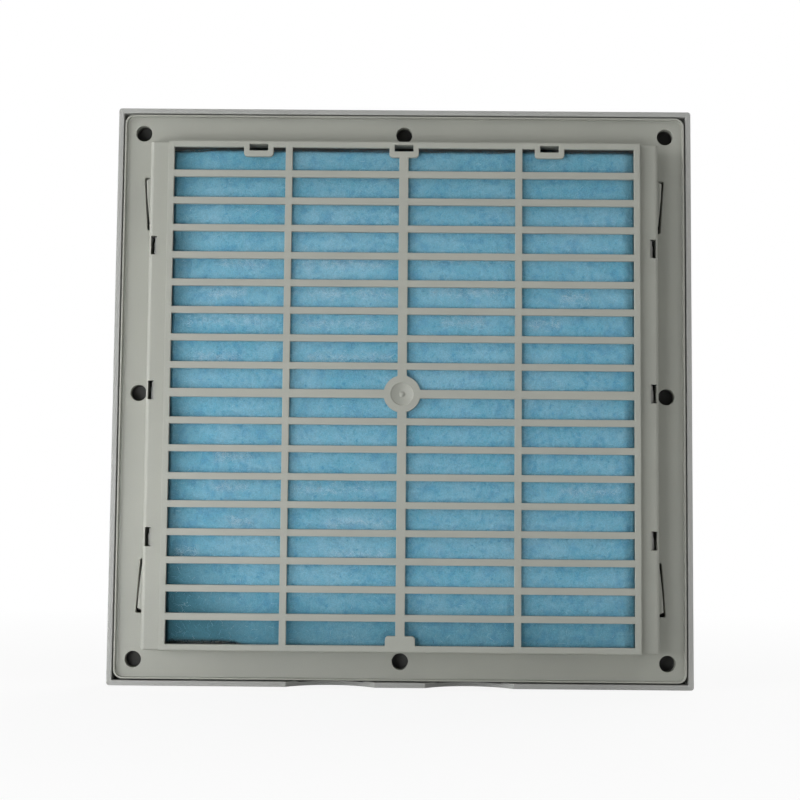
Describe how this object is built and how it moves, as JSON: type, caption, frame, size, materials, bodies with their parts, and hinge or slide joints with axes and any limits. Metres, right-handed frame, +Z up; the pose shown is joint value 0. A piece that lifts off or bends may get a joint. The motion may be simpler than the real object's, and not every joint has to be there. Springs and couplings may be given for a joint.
{
  "type": "exhaust filter grille",
  "caption": "Square louvred exhaust filter unit for an enclosure wall: flanged frame with rear guard grille, fibre mat and pull-off louvred cover, held in a panel cut-out by spring arms.",
  "frame": {"origin": "centre of the mounting hole pattern, on the rear face of the flange that lies on the wall panel", "axes": "+X to the right seen from inside the cabinet, +Z up, +Y out through the wall towards the louvred front"},
  "size_m": [0.255, 0.0245, 0.255],
  "materials": {
    "frame_plastic": "fine matt moulded grey plastic",
    "arm_plastic": "fine matt moulded grey plastic",
    "cover_plastic": "fine matt moulded light grey plastic",
    "mat_fibre": "blue and white bonded fibre"
  },
  "bodies": {
    "frame": {"mounting_flange": "frame_plastic", "collar_top_wall": "frame_plastic", "collar_bottom_wall": "frame_plastic", "collar_left_channel": "frame_plastic", "collar_right_channel": "frame_plastic", "rear_grille": "frame_plastic"},
    "arm_upper_left": {"latch_arm_upper_left": "arm_plastic"},
    "arm_upper_right": {"latch_arm_upper_right": "arm_plastic"},
    "arm_lower_left": {"latch_arm_lower_left": "arm_plastic"},
    "arm_lower_right": {"latch_arm_lower_right": "arm_plastic"},
    "mat": {"filter_mat": "mat_fibre"},
    "cover": {"cover_shell": "cover_plastic", "louvre_slats": "cover_plastic", "cover_clip_tongues": "cover_plastic"}
  },
  "joints": [
    {"name": "cover_pull", "type": "slide", "parent": "frame", "child": "cover", "axis": [0, 1, 0], "range_m": [0, 0.08]},
    {"name": "mat_lift_out", "type": "slide", "parent": "frame", "child": "mat", "axis": [0, 1, 0], "range_m": [0, 0.04]},
    {"name": "flex_upper_left", "type": "hinge", "parent": "frame", "child": "arm_upper_left", "pos_m": [-0.1104, -0.0047, 0.0715], "axis": [0, 1, 0], "range_deg": [0, 4.5], "stiffness_Nm_per_rad": 0.68},
    {"name": "flex_upper_right", "type": "hinge", "parent": "frame", "child": "arm_upper_right", "pos_m": [0.1104, -0.0047, 0.0715], "axis": [0, -1, 0], "range_deg": [0, 4.5], "stiffness_Nm_per_rad": 0.68},
    {"name": "flex_lower_left", "type": "hinge", "parent": "frame", "child": "arm_lower_left", "pos_m": [-0.1104, -0.0047, -0.0715], "axis": [0, -1, 0], "range_deg": [0, 4.5], "stiffness_Nm_per_rad": 0.68},
    {"name": "flex_lower_right", "type": "hinge", "parent": "frame", "child": "arm_lower_right", "pos_m": [0.1104, -0.0047, -0.0715], "axis": [0, 1, 0], "range_deg": [0, 4.5], "stiffness_Nm_per_rad": 0.68}
  ],
  "couplings": [
    {"joint": "mat_lift_out", "follows": "cover_pull", "ratio": 0.5}
  ]
}
